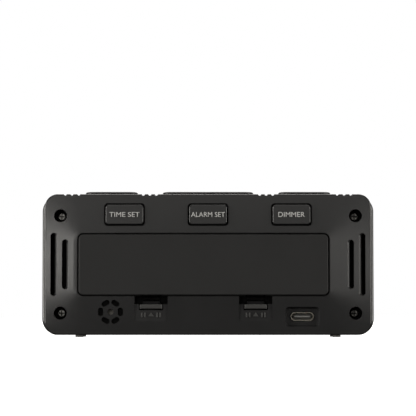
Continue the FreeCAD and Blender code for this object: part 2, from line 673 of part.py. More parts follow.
def buzzer():
    """Sounder case with a small mouth at the grille, and the brass disc and crystal in it."""
    case = cyl_y(BUZZER_R, SOUND_X, SOUND_Z, 5.0, REAR_IN_Y - 0.1)
    mouth_y = REAR_IN_Y - 1.0
    case = cut(case, cyl_y(BUZZER_R - 0.8, SOUND_X, SOUND_Z, 6.2, mouth_y),
               cyl_y(1.25, SOUND_X, SOUND_Z, mouth_y - 1, 12))
    disc = cyl_y(BUZZER_R - 0.85, SOUND_X, SOUND_Z, 6.2, 6.5)
    crystal = cyl_y(3.0, SOUND_X, SOUND_Z, 6.5, 6.75)
    return case, disc, crystal


def foot(x, y):
    pad = cyl_z(FOOT_R, x, y, 0, FOOT_H)
    pad = soften(pad, 0.25, lambda b: b.ZMax < 0.01)
    return fuse(pad, cyl_z(1.15, x, y, FOOT_H - 0.2, FOOT_H + 1.0))


def main():
    os.makedirs(OUT, exist_ok=True)
    for old in os.listdir(OUT):
        os.remove(os.path.join(OUT, old))
    crown = crowned_block()
    crown_high = crowned_block(REAR_KEY_PROUD)
    write("rear_housing", housing(crown))
    write("front_frame", front_frame())
    write("display_lens", lens())

    write("battery_door", battery_door())
    for x, side in zip(latch_places(), ("right", "left")):
        write(f"latch_tab_{side}", latch_tab(x))
        write(f"latch_spring_{side}", latch_spring(x))

    for name, x, width in top_keys():
        posts = [-SNOOZE_SWITCH_X, SNOOZE_SWITCH_X] if name == "snooze" else [x]
        write(f"{name}_key", top_key(x, width, posts))
        write(f"{name}_switch_stem", *[top_stem(p) for p in posts])
        write(f"{name}_switch", *[top_switch(p) for p in posts])
    for name, x in rear_keys():
        write(f"{name}_key", rear_key(x, crown_high))
        write(f"{name}_switch_stem", rear_stem(x))
        write(f"{name}_switch", rear_switch(x))

    board = box(-47, 47, -3.2, 6.6, KEY_BOARD_Z, KEY_BOARD_Z + BOARD_T)
    write("key_board", cut(board, *[cyl_z(0.95, x, TOP_KEY_Y, 40, 50) for x in (-22, 22)]))
    write("key_pins", *[box(x - 0.3, x + 0.3, DISPLAY_BOARD_Y + BOARD_T, -3.2, 43.7, 44.3)
                        for x in range(-14, 15, 4)])
    write("case_screws", *[pan_screw((x, SCREW_SEAT_Y, z), (0, -1, 0), 1.8, 1.4, SHANK_R, 7.0)
                           for x, z in screw_places()])

    lit, dark = light_guides()
    write("digit_block", digit_block(lit + dark))
    write("lit_segments", *lit)
    write("dark_segments", *dark)
    write("light_chips", *light_chips(lit + dark))
    write("display_board", display_board())
    write("clock_chips", *board_parts())

    lo, hi = DOOR_X - BAY_W / 2, DOOR_X + BAY_W / 2
    start = lo + 0.2 + 2.6
    for row, z, nub in (("upper", DOOR_Z + CELL_DZ, 1), ("lower", DOOR_Z - CELL_DZ, -1)):
        first = start if nub > 0 else lo + 1.0
        for n, side in enumerate(("right", "left")):
            write(f"battery_{row}_{side}", *cell(first + n * CELL_L, z, nub))
    negative, positive, bridge = bay_contacts()
    write("negative_contact", negative)
    write("positive_contact", positive)
    write("bridge_contact", bridge)
    write("contact_springs", coil_contact(lo + 0.25, DOOR_Z + CELL_DZ, 1),
          coil_contact(hi - 0.25, DOOR_Z - CELL_DZ, -1))

    power_z = USB_Z - USB_H / 2
    power = box(-47.0, -26.0, -3.0, 6.8, power_z - 1.0, power_z)
    write("power_board", cut(power, *[cyl_z(0.95, x, POWER_SCREW_Y, 0, 20) for x in POWER_SCREW_X]))
    back_y = DISPLAY_BOARD_Y + BOARD_T
    seats = [((x, TOP_KEY_Y, KEY_BOARD_Z + BOARD_T), (0, 0, -1)) for x in (-22, 22)]
    seats += [((x, POWER_SCREW_Y, power_z), (0, 0, -1)) for x in POWER_SCREW_X]
    seats += [((x, back_y, z), (0, -1, 0)) for x, z in board_screw_places()]
    write("board_screws", *[pan_screw(at, way, 1.6, 1.1, 0.75, 3.4) for at, way in seats])
    write("power_chips", box(-35.5, -33.0, -1.5, 0.5, power_z, power_z + 1.2),
          cyl_z(1.5, -41.5, -0.8, power_z, power_z + 4.0))
    write("battery_leads", *[lead([(lo - 0.2, LEAD_Y, z), (-49, LEAD_Y, z), (-49, back_y, z)], LEAD_R, 1.2)
                             for z in (DOOR_Z - CELL_DZ, DOOR_Z + CELL_DZ)])
    write("supply_leads", *[lead([(x, -1.6, power_z), (x, -1.6, 11.5), (x, back_y, 11.5)], LEAD_R, 1.2)
                            for x in (-30.5, -39.0)])
    write("sounder_leads", *[lead([(SOUND_X + dx, 5.0, SOUND_Z), (SOUND_X + dx, 1.0, SOUND_Z),
                                   (SOUND_X + dx, 1.0, 13.0), (SOUND_X + dx, back_y, 13.0)], LEAD_R, 1.2)
                             for dx in (-1.5, 1.5)])
    write("usb_shell", usb_shell())
    write("usb_tongue", usb_tongue())
    case, disc, crystal = buzzer()
    write("buzzer_case", case)
    write("buzzer_disc", disc)
    write("buzzer_crystal", crystal)
    for fx, side in ((-FOOT_X, "right"), (FOOT_X, "left")):
        for fy, end in ((-FOOT_Y, "front"), (FOOT_Y, "rear")):
            write(f"foot_{end}_{side}", foot(fx, fy))


main()
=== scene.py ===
# %% [markdown]
# # A bedside alarm clock, seen from behind
# The hard parts come in as a fixed frame: every shell, key, screw and board already has its true
# shape and size, in metres, with the origin under the middle of the clock. This lesson adds what a
# CAD model lacks: the feel of moulded plastic, printed legends, coiled contacts, and light.

# %% Load the frame
import math

import bmesh
import bpy
from mathutils import Matrix, Vector


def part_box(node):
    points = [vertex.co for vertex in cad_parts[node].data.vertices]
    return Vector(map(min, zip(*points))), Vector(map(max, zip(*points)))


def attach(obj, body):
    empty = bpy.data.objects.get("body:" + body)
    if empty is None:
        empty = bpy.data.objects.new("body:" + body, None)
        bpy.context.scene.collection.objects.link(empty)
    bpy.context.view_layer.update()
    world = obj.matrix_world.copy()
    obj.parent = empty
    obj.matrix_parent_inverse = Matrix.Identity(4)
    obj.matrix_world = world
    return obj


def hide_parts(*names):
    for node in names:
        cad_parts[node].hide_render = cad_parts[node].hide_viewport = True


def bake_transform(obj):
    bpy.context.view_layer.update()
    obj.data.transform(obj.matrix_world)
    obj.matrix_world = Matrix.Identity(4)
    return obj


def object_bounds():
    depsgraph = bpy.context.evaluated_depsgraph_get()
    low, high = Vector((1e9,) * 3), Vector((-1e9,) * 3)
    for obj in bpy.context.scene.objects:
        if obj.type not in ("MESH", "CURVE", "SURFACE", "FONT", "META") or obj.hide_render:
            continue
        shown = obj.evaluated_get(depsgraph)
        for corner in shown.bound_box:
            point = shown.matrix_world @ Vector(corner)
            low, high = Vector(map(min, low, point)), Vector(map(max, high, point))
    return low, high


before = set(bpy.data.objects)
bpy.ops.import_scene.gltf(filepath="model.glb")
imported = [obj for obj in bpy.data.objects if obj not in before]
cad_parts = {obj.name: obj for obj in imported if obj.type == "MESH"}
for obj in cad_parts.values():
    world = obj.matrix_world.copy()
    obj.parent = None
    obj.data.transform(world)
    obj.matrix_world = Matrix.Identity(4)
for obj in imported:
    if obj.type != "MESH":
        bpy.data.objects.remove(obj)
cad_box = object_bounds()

MM = 0.001

# %% [markdown]
# ## The camera
# A long lens from most of a metre away keeps the sides of the clock nearly parallel. It stands
# low, at the height of the socket, and tips up slightly, so the clock sits low in the frame.

# %% Camera
PLATEAU_Y = 11.5 * MM
STAND_OFF = 0.80
LENS_HEIGHT = 9.0 * MM
FRAME_WIDTH = 162.2 * MM
AIM_Z = 50.3 * MM
SENSOR = 36.0

camera_data = bpy.data.cameras.new("camera")
camera_data.sensor_width = SENSOR
camera_data.lens = SENSOR * STAND_OFF / FRAME_WIDTH
camera = bpy.data.objects.new("camera", camera_data)
bpy.context.scene.collection.objects.link(camera)
camera.location = (0.0, PLATEAU_Y + STAND_OFF, LENS_HEIGHT)
aim = Vector((0.0, PLATEAU_Y, AIM_Z))
camera.rotation_euler = (aim - camera.location).to_track_quat("-Z", "Y").to_euler()
camera_data.clip_start, camera_data.clip_end = 0.05, 20.0
bpy.context.scene.camera = camera
print("lens", round(camera_data.lens, 1), "mm")

# %% [markdown]
# ## Selecting by hand, in code
# Operators work on whatever is selected, and the loaded nodes arrive selected. So each new piece
# starts by clearing the selection, and a small helper picks faces in edit mode by their place or
# normal. When a piece is done its place goes into its mesh, and its object stays at the origin
# like a CAD node's.


# %% Helpers for modelling
def clear_selection():
    """Leave object mode with nothing selected."""
    if bpy.context.object and bpy.context.object.mode != "OBJECT":
        bpy.ops.object.mode_set(mode="OBJECT")
    bpy.ops.object.select_all(action="DESELECT")


def settle(piece, name, place=None):
    """Name a piece, put its place into its mesh and leave its object at the origin."""
    piece.name = piece.data.name = name
    if place is not None:
        piece.matrix_world = place @ piece.matrix_world
    piece.data.transform(piece.matrix_world)
    piece.matrix_world = Matrix.Identity(4)
    return piece


def joined(pieces, name):
    """Several meshes as one piece."""
    clear_selection()
    for piece in pieces:
        piece.select_set(True)
    bpy.context.view_layer.objects.active = pieces[0]
    if len(pieces) > 1:
        bpy.ops.object.join()
    return settle(bpy.context.object, name)


def select_faces(piece, test):
    """In edit mode, select just the faces whose centre and normal pass a test."""
    bpy.ops.mesh.select_mode(type="FACE")
    bpy.ops.mesh.select_all(action="DESELECT")
    mesh = bmesh.from_edit_mesh(piece.data)
    for face in mesh.faces:
        face.select_set(test(face.calc_center_median(), face.normal))
    bmesh.update_edit_mesh(piece.data)


def middle_of(node):
    """Middle of a CAD node's box."""
    node_low, node_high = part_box(node)
    return (node_low + node_high) / 2


print("middle of the door:", [round(c / MM, 1) for c in middle_of("battery_door")], "mm")


# %% [markdown]
# ## Shader arithmetic
# A material's pattern is a sum of simple fields. Wrapping a socket in a class with `+`, `-` and
# `*` lets a line of Python read as the sum itself, and every operator adds its own Math node.


# %% A socket that can be added up
class Field:
    """One output socket of a node, usable in arithmetic."""

    def __init__(self, finish, socket):
        self.finish, self.socket = finish, socket

    def math(self, operation, *others):
        """A Math node that takes this field first, then the others."""
        values = dict(enumerate((self, *others)))
        return self.finish.node("ShaderNodeMath", {"operation": operation}, values)

    def __add__(self, other):
        return self.math("ADD", other)

    def __sub__(self, other):
        return self.math("SUBTRACT", other)

    def __rsub__(self, other):
        return self.finish.node("ShaderNodeMath", {"operation": "SUBTRACT"}, {0: other, 1: self})

    def __mul__(self, other):
        return self.math("MULTIPLY", other)

    __radd__ = __add__
    __rmul__ = __mul__

    def above(self, edge):
        return self.math("GREATER_THAN", edge)

    def below(self, edge):
        return self.math("LESS_THAN", edge)

    def distance_from(self, value):
        return (self - value).math("ABSOLUTE")

    def ramp(self, start, end):
        """0 at start, 1 at end, and smooth between."""
        settings = {"interpolation_type": "SMOOTHSTEP"}
        values = {"Value": self, "From Min": start, "From Max": end}
        return self.finish.node("ShaderNodeMapRange", settings, values, "Result")


class Finish:
    """A material that is built from nodes, with its Principled shader."""

    def __init__(self, name, colour, roughness, **constants):
        self.material = bpy.data.materials.new(name)
        self.material.use_nodes = True
        self.tree = self.material.node_tree
        self.shader = self.tree.nodes["Principled BSDF"]
        self.put("Base Color", colour)
        self.put("Roughness", roughness)
        for socket, value in constants.items():
            self.put(socket.replace("_", " ").title(), value)
        where = self.tree.nodes.new("ShaderNodeTexCoord")
        self.place = Field(self, where.outputs["Object"])

    def put(self, socket, value):
        """Set a socket of the shader, or link a field to it."""
        self.plug(self.shader.inputs[socket], value)

    def plug(self, socket, value):
        if isinstance(value, Field):
            self.tree.links.new(value.socket, socket)
        elif socket.type == "RGBA" and len(value) == 3:
            socket.default_value = (*value, 1.0)
        else:
            socket.default_value = value

    def node(self, kind, settings=None, inputs=None, output=0):
        """Add a node: its settings first, then the values or links of its sockets."""
        made = self.tree.nodes.new(kind)
        for name, value in (settings or {}).items():
            setattr(made, name, value)
        for name, value in (inputs or {}).items():
            self.plug(made.inputs[name], value)
        return Field(self, made.outputs[output])

    def grain(self, per_metre, detail=2.0, roughness=0.5):
        """Noise with about so many blobs a metre, from 0 to 1."""
        values = {"Vector": self.place, "Scale": per_metre, "Detail": detail,
                  "Roughness": roughness}
        return self.node("ShaderNodeTexNoise", None, values, "Fac")

    def axis(self, name):
        """One coordinate of the place on the object."""
        return self.node("ShaderNodeSeparateXYZ", None, {0: self.place}, name)

    def blend(self, mask, first, second):
        """A colour between two colours."""
        values = {"Factor": mask, 6: first, 7: second}
        return self.node("ShaderNodeMix", {"data_type": "RGBA"}, values, 2)

    def relief(self, height, depth):
        """Bump of about this depth in metres."""
        values = {"Height": height, "Distance": depth, "Strength": 1.0}
        self.put("Normal", self.node("ShaderNodeBump", None, values, "Normal"))


def dress(finish, *nodes):
    """Give CAD nodes a finish."""
    for node in nodes:
        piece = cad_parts[node]
        piece.data.materials.clear()
        piece.data.materials.append(finish.material)


print("nodes that wait for a finish:", len(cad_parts))

# %% [markdown]
# ## Moulded charcoal plastic
# The case comes out of a polished steel tool with a soft shine. Fine noise raises a hair of tooth
# on it, and slower noise shifts its colour and gloss slightly, where hands have polished it or
# dust has settled. The battery door comes from another tool with a coarser, matt tooth, and the
# keys are nearly as smooth as the case. Two more finishes go with them: a near-black one that is
# painted shade, for the inside, the latch springs and the faces that line openings and gaps, and a
# paler one that is a painted highlight, for the finger tabs and raised marks that catch the light.


# %% The plastics
def moulded(name, colour, roughness, tooth, depth, haze=0.12):
    """Moulded plastic: tooth is blobs a metre, depth its height, haze its drift of colour."""
    finish = Finish(name, colour, roughness)
    fine = finish.grain(tooth, detail=3.0, roughness=0.6)
    drift = finish.grain(60.0, detail=4.0, roughness=0.55)
    lighter = [c * (1.0 + haze) + 0.0015 for c in colour]
    darker = [c * (1.0 - haze) for c in colour]
    finish.put("Base Color", finish.blend(drift * 0.7 + fine * 0.3, darker, lighter))
    finish.put("Roughness", (drift - 0.5) * 0.08 + (fine - 0.5) * 0.10 + roughness)
    finish.relief(fine, depth)
    return finish


case_plastic = moulded("charcoal_case_plastic", (0.028, 0.028, 0.0285),
                       roughness=0.18, tooth=3600.0, depth=0.003 * MM)
door_plastic = moulded("charcoal_door_plastic", (0.0172, 0.0172, 0.0172),
                       roughness=0.58, tooth=2300.0, depth=0.02 * MM, haze=0.18)
key_plastic = moulded("charcoal_key_plastic", (0.029, 0.029, 0.0295),
                      roughness=0.22, tooth=4200.0, depth=0.003 * MM)
# Painted shade: near-black plastic with dimmed reflections, for faces where shade falls.
painted_shade_plastic = moulded("charcoal_painted_shade_plastic", (0.006, 0.006, 0.0062),
                        roughness=0.6, tooth=2500.0, depth=0.02 * MM)
painted_shade_plastic.put("Specular IOR Level", 0.18)
# Painted highlight: a paler plastic for the finger tabs and raised marks, for the light they
# catch.
painted_highlight_plastic = moulded("charcoal_painted_highlight_plastic", (0.050, 0.050, 0.048),
                         roughness=0.45, tooth=3600.0, depth=0.008 * MM)

top_keys = ("alarm_plus", "snooze", "volume_minus")
rear_keys = ("dimmer", "alarm_set", "time_set")
# The front frame gets the painted shade plastic.
dress(painted_shade_plastic, "front_frame")
dress(door_plastic, "battery_door")
dress(key_plastic, *[key + "_key" for key in top_keys + rear_keys])
print("plastics made")

# %% [markdown]
# ## Metals
# Screws are zinc-plated and lightly scratched; the socket's shell is drawn bright steel; the
# contacts are nickel-plated spring steel; the sounder's disc is thin rolled brass that has gone
# brown.


# %% Metal finishes
def metal(name, colour, roughness, scratches, depth=0.004 * MM, tarnish=0.25):
    """Metal with fine scratches, so many a metre, and duller spots."""
    finish = Finish(name, colour, roughness, metallic=1.0)
    fine = finish.grain(scratches, detail=4.0, roughness=0.65)
    spots = finish.grain(900.0, detail=3.0)
    dull = [c * (1.0 - tarnish) for c in colour]
    finish.put("Base Color", finish.blend(spots.ramp(0.35, 0.7), colour, dull))
    finish.put("Roughness", fine * 0.22 + spots * 0.10 + (roughness - 0.14))
    finish.relief(fine, depth)
    return finish


screw_steel = metal("zinc_plated_screw_steel", (0.26, 0.255, 0.24),
                    roughness=0.30, scratches=5200.0, depth=0.02 * MM)
socket_steel = metal("bright_drawn_steel", (0.60, 0.56, 0.48), roughness=0.26, scratches=4300.0)
contact_nickel = metal("nickel_plated_spring_steel", (0.62, 0.60, 0.56),
                       roughness=0.22, scratches=3800.0)
disc_brass = metal("rolled_brass", (0.08, 0.042, 0.018),
                   roughness=0.50, scratches=3000.0, tarnish=0.4)
dress(screw_steel, "board_screws")
dress(socket_steel, "usb_shell")
dress(contact_nickel, "negative_contact", "positive_contact", "bridge_contact", "key_pins")
dress(disc_brass, "buzzer_disc")
print("metals made")

# %% [markdown]
# ## Boards, resin, rubber and wire
# The circuit boards show copper tracks under a green mask: stretched square noise gives tracks
# that run along and across. The chips, switches and wires are small, so a fine grain and a slight
# colour drift are all that they need.


# %% Small finishes
SMALL_HAZE = 0.15


def resin(name, colour, roughness, tooth=3000.0, depth=0.01 * MM):
    """Small plain part: a fine grain and a slight drift of colour."""
    finish = Finish(name, colour, roughness)
    fine = finish.grain(tooth, detail=3.0)
    lighter = [min(1.0, c * (1.0 + SMALL_HAZE)) for c in colour]
    darker = [c * (1.0 - SMALL_HAZE) for c in colour]
    finish.put("Base Color", finish.blend(fine, darker, lighter))
    finish.put("Roughness", (fine - 0.5) * 0.14 + roughness)
    finish.relief(fine, depth)
    return finish


MASK_GREEN, GREEN_OVER_COPPER = (0.012, 0.085, 0.032), (0.035, 0.20, 0.075)
LANES_PER_METRE, LANE_SHARE = 620.0, 0.17
RUN_PITCH, RUN_SLANT = 95.0, 410.0


def circuit_board(name, along, across):
    """Green mask over copper: tracks follow two axes of the board."""
    finish = Finish(name, MASK_GREEN, 0.30)
    u, v = finish.axis(along), finish.axis(across)
    tracks = []
    for track, run in ((u, v), (v, u)):
        lane = (track * LANES_PER_METRE).math("FRACT").distance_from(0.5).below(LANE_SHARE)
        length = (run * RUN_PITCH + track * RUN_SLANT).math("SINE").above(0.25)
        tracks.append(lane * length)
    copper = tracks[0].math("MAXIMUM", tracks[1])
    weave = finish.grain(2400.0, detail=2.0)
    finish.put("Base Color", finish.blend(copper, MASK_GREEN, GREEN_OVER_COPPER))
    finish.put("Roughness", weave * 0.15 + 0.22)
    finish.relief(copper * 0.6 + weave * 0.2, 0.03 * MM)
    return finish


dress(circuit_board("mask_green_upright", "X", "Z"), "display_board")
dress(circuit_board("mask_green_flat", "X", "Y"), "key_board", "power_board")
dress(resin("chip_black_resin", (0.018, 0.018, 0.019), 0.45), "clock_chips", "power_chips")
dress(resin("switch_black_resin", (0.022, 0.022, 0.024), 0.4),
      *[key + "_switch" for key in top_keys + rear_keys])
dress(resin("stem_cream_resin", (0.52, 0.48, 0.40), 0.4),
      *[key + "_switch_stem" for key in top_keys + rear_keys])
dress(resin("tongue_pale_resin", (0.30, 0.30, 0.29), 0.42), "usb_tongue")
dress(resin("sounder_black_resin", (0.005, 0.005, 0.005), 0.75), "buzzer_case")
dress(resin("silvered_ceramic", (0.66, 0.62, 0.55), 0.35, 1500.0), "buzzer_crystal")
dress(resin("foot_rubber", (0.11, 0.105, 0.095), 0.6, 1800.0, 0.05 * MM),
      *[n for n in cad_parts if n.startswith("foot_")])
dress(resin("red_wire_jacket", (0.38, 0.02, 0.018), 0.38), "battery_leads", "supply_leads")
dress(resin("black_wire_jacket", (0.02, 0.02, 0.02), 0.4), "sounder_leads")
print("small finishes made")

# %% [markdown]
# ## The display
# The window is smoked acrylic: nearly black when the clock is dark, yet the lit windows of the
# digits read through it. The glow of the lit windows drifts in soft patches between a paler and a
# brighter tint.

# %% Window, reflector and digits
lens = Finish("smoked_window_acrylic", (0.006, 0.006, 0.007), 0.08, alpha=0.72)
lens_scuffs = lens.grain(900.0, detail=5.0, roughness=0.7)
lens.put("Roughness", lens_scuffs * 0.05 + 0.04)
dress(lens, "display_lens")

dress(resin("reflector_grey_plastic", (0.035, 0.035, 0.036), 0.5), "digit_block")

PALE_GLOW, BRIGHT_GLOW = (0.62, 0.78, 0.95), (0.86, 0.94, 1.0)
glow = Finish("lit_milky_resin", (0.7, 0.75, 0.8), 0.4, emission_strength=1.6)
patchy = glow.grain(260.0, detail=2.0)
glow.put("Emission Color", glow.blend(patchy.ramp(0.3, 0.7), PALE_GLOW, BRIGHT_GLOW))
dress(glow, "lit_segments")
dress(resin("unlit_milky_resin", (0.055, 0.055, 0.057), 0.45), "dark_segments")
dress(resin("light_chip_phosphor", (0.75, 0.68, 0.30), 0.4), "light_chips")
print("display dressed")

# %% [markdown]
# ## Batteries
# A cell is a steel can in a printed sleeve. Here the print is a plain dark blue with a copper band
# at the positive end, and the bare steel shows at both ends. The bands are measured along the
# cell, from the node's own box.


# %% Cells
SLEEVE_BLUE, BAND_COPPER = (0.016, 0.035, 0.11), (0.42, 0.20, 0.08)
RING_GREY, CAN_STEEL = (0.55, 0.55, 0.55), (0.6, 0.6, 0.6)
BAND_LENGTH = 10.5 * MM
RING_AT, RING_HALF = 12.0 * MM, 0.35 * MM
BARE_PLUS, BARE_MINUS = 1.6 * MM, 0.5 * MM


def battery_print(node, plus_side):
    """Print on one cell's sleeve; plus_side is 1 where its positive end has the higher x."""
    node_low, node_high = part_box(node)
    plus_x = node_high.x if plus_side > 0 else node_low.x
    minus_x = node_low.x if plus_side > 0 else node_high.x
    finish = Finish(node + "_print", SLEEVE_BLUE, 0.28)
    x = finish.axis("X")
    from_plus = x.distance_from(plus_x)
    from_minus = x.distance_from(minus_x)
    copper = from_plus.below(BAND_LENGTH)
    ring = from_plus.distance_from(RING_AT).below(RING_HALF)
    steel = from_plus.below(BARE_PLUS).math("MAXIMUM", from_minus.below(BARE_MINUS))
    fine = finish.grain(1500.0, detail=3.0)
    sleeve = finish.blend(copper, SLEEVE_BLUE, BAND_COPPER)
    ringed = finish.blend(ring, sleeve, RING_GREY)
    finish.put("Base Color", finish.blend(steel, ringed, CAN_STEEL))
    finish.put("Metallic", steel.math("MAXIMUM", copper * 0.75))
    finish.put("Roughness", fine * 0.12 + 0.2)
    finish.relief(fine, 0.006 * MM)
    return finish


for row, plus_side in (("upper", 1), ("lower", -1)):
    for side in ("left", "right"):
        cell = f"battery_{row}_{side}"
        dress(battery_print(cell, plus_side), cell)
print("cells printed")

# %% [markdown]
# ## The case, smoothed
# A CAD mesh arrives as loose triangles, so light breaks at every one of them. For each visible
# shell a copy is merged at its seams and shaded smooth up to an angle, with its large faces given
# most say. The crowned rear still needs help: its triangles are long and thin, and averaged
# normals run in streaks. Its true normals are known, because it is a flat with the same lean all
# around it, so they are worked out and set. The shape stays the same, and only the way that light
# runs over it changes.

# %% The crown's shape
CROWN_LEAN = math.radians(2.7)
CROWN_X, CROWN_Z = 2.3 * MM, 28.2 * MM
CROWN_W, CROWN_H, CROWN_CORNER = 100.4 * MM, 25.2 * MM, 3.0 * MM
KEY_PROUD = 0.8 * MM
SAME_HEIGHT = 0.05 * MM


def beyond_corners(point):
    """Signed way across and up from the nearest corner centre of the flat; 0 between them."""
    across = max(0.0, abs(point.x - CROWN_X) - CROWN_W / 2 + CROWN_CORNER)
    up = max(0.0, abs(point.z - CROWN_Z) - CROWN_H / 2 + CROWN_CORNER)
    return math.copysign(across, point.x - CROWN_X), math.copysign(up, point.z - CROWN_Z)


def fall(point):
    """Drop of the crown at a point, below its flat middle."""
    return max(0.0, math.hypot(*beyond_corners(point)) - CROWN_CORNER) * math.tan(CROWN_LEAN)


def crown_normal(point):
    """True normal of the leaning surface around the flat."""
    across, up = beyond_corners(point)
    reach = math.hypot(across, up)
    tilt = math.sin(CROWN_LEAN) / reach
    return Vector((across * tilt, math.cos(CROWN_LEAN), up * tilt))


def on_crown(centre, normal, lift):
    """Whether a face lies on the leaning part of the crown, raised by lift."""
    drop = fall(centre)
    level = abs(centre.y - (PLATEAU_Y + lift - drop)) < SAME_HEIGHT
    return drop > 0 and normal.y > 0.99 and level


def below_crown(point):
    """Depth of a point under the surface of the crown."""
    return PLATEAU_Y - fall(point) - point.y


edge_fall = fall(Vector((cad_box[1].x, 0.0, CROWN_Z)))
print("the rear falls", round(edge_fall / MM, 2), "mm from its flat to its edge")

# %% [markdown]
# ## Linings of painted shade
# A bore, a gap or a vent in a real case looks black, because little of the light that goes in
# comes out again. That shade is painted: each smooth copy carries the near-black plastic as a
# second material, and a rule for each piece says, from a face's middle and normal, whether that
# face lines an opening and so is painted shade.

# %% Rules for the linings
SOCKET_X, RECESS_HALF, RECESS_TOP_Z = -36.8 * MM, 8.3 * MM, 14.0 * MM
SIDE_WALL_X = 62.4 * MM
BOTTOM_WALL_Z, TOP_WALL_Z = 2.4 * MM, 54.0 * MM
OPENING_DEPTH = 0.8 * MM
SCREW_X, SCREW_DZ = 57.6 * MM, 19.0 * MM
DRIVE_REACH = 1.2 * MM
DRIVE_FLOOR_Y, DRIVE_MOUTH_Y = 1.5 * MM, 2.65 * MM
CASE_TOP_Z, CASE_MIDDLE_Z = 55.8 * MM, 28.3 * MM


def never_lined(point, normal):
    return False


def lines_an_opening(point, normal):
    """Whether a face of the case lines a bore, notch or vent, which gets painted shade; the
    socket's recess keeps the case plastic.
    """
    slanted = 0.3 < normal.y < 0.9
    outer = abs(point.x) > SIDE_WALL_X or not BOTTOM_WALL_Z < point.z < TOP_WALL_Z
    at_socket = abs(point.x - SOCKET_X) < RECESS_HALF and point.z < RECESS_TOP_Z
    return below_crown(point) > OPENING_DEPTH and not (slanted or outer or at_socket)


def depth_below(level):
    """Rule that gives painted shade to the faces more than a depth below the crown."""
    return lambda point, normal: below_crown(point) > level


# Top keys: faces below the case top, in the gap around the key, get painted shade.
def below_case_top(point, normal):
    return point.z < CASE_TOP_Z - 0.1 * MM


def lines_a_drive(point, normal):
    """Whether a face lies in the cross recess of a case screw, where shade is painted."""
    middle = Vector((math.copysign(SCREW_X, point.x), point.y, CASE_MIDDLE_Z))
    middle.z += math.copysign(SCREW_DZ, point.z - CASE_MIDDLE_Z)
    return (point - middle).length < DRIVE_REACH and DRIVE_FLOOR_Y < point.y < DRIVE_MOUTH_Y


print("linings are cut off at", round(OPENING_DEPTH / MM, 1), "mm below the crown")

# %% [markdown]
# ## Smooth copies
# Each copy is merged, shaded smooth and given its normals. It rides on the body of the node that
# it replaces, except a leaf spring, which is left on no body.

# %% Smooth copies of the visible shells
SMOOTH_ANGLE = math.radians(32.0)
WELD = 0.002 * MM


def smooth_copy(node, body, finish, lift=0.0, lined=never_lined):
    """Copy of a CAD node with true normals, a finish, and painted shade on the faces its rule
    picks.
    """
    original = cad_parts[node]
    clear_selection()
    piece = bpy.data.objects.new(node + "_shell", original.data.copy())
    bpy.context.scene.collection.objects.link(piece)
    bpy.context.view_layer.objects.active = piece
    piece.select_set(True)
    bpy.ops.mesh.customdata_custom_splitnormals_clear()
    bpy.ops.object.mode_set(mode="EDIT")
    bpy.ops.mesh.select_all(action="SELECT")
    bpy.ops.mesh.remove_doubles(threshold=WELD)
    bpy.ops.object.mode_set(mode="OBJECT")
    bpy.ops.object.shade_smooth_by_angle(angle=SMOOTH_ANGLE)
    even = piece.modifiers.new("even", "WEIGHTED_NORMAL")
    even.mode, even.keep_sharp, even.weight = "FACE_AREA_WITH_ANGLE", True, 50
    bpy.ops.object.modifier_apply(modifier="even")
    mesh = piece.data
    normals = [Vector(corner.vector) for corner in mesh.corner_normals]
    for face in mesh.polygons:
        if on_crown(face.center, face.normal, lift):
            for loop in face.loop_indices:
                corner = mesh.vertices[mesh.loops[loop].vertex_index]
                normals[loop] = crown_normal(corner.co)
    mesh.normals_split_custom_set(normals)
    mesh.materials.clear()
    mesh.materials.append(finish.material)
    # Second material: painted shade, for the faces that the rule picks.
    mesh.materials.append(painted_shade_plastic.material)
    for face in mesh.polygons:
        face.material_index = int(lined(face.center, face.normal))
    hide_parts(node)
    if body:
        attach(piece, body)
    return piece


# Each rule picks faces for painted shade: the case's bores, notches and vents, deep faces of door
# and keys, gaps round the top keys, the screws' cross recesses.
case_shell = smooth_copy("rear_housing", "case", case_plastic,
                         lined=lines_an_opening)
smooth_copy("battery_door", "door", door_plastic, lined=depth_below(0.5 * MM))
for key in rear_keys:
    smooth_copy(key + "_key", key + "_button", key_plastic, KEY_PROUD,
                depth_below(0.1 * MM))
for key in top_keys:
    smooth_copy(key + "_key", key + "_button", key_plastic,
                lined=below_case_top)
# The finger tabs are the paler plastic, a painted highlight; their deep faces get painted shade.
for side in ("left", "right"):
    smooth_copy(f"latch_tab_{side}", f"latch_{side}", painted_highlight_plastic,
                lined=depth_below(0.6 * MM))
smooth_copy("case_screws", "case", screw_steel, lined=lines_a_drive)
print("case shell has", len(case_shell.data.polygons), "faces")

# %% [markdown]
# ## Latch springs
# Each latch has a U-shaped leaf between the door and the finger tab. Its copy is fixed in place
# and rides on no body.

# %% Latch spring copies
for side in ("left", "right"):
    # Each leaf is all painted shade: the near-black plastic stands in for the dark of its notch.
    leaf = smooth_copy(f"latch_spring_{side}", None, painted_shade_plastic)
    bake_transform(leaf)

# %% [markdown]
# ## Printed legends
# The keys carry pale pad-printed words. A text object becomes a thin mesh, is stretched to the
# printed size, and is laid on its key a few hundredths of a millimetre proud. The rear keys lean
# with the case, so their words are tipped by the same lean.

# %% Ink
THIN_INK, FULL_INK = (0.50, 0.50, 0.49), (0.74, 0.74, 0.72)
ink = Finish("pale_pad_print", FULL_INK, 0.5)
ink_speckle = ink.grain(5200.0, detail=2.0)
ink.put("Base Color", ink.blend(ink_speckle.ramp(0.30, 0.62), THIN_INK, FULL_INK))
ink.relief(ink_speckle, 0.008 * MM)
INK_THICK = 0.03 * MM
INK_RISE = INK_THICK * 0.3
FACING_REAR = Matrix(((-1, 0, 0), (0, 0, 1), (0, 1, 0))).to_4x4()
print("ink mixed")


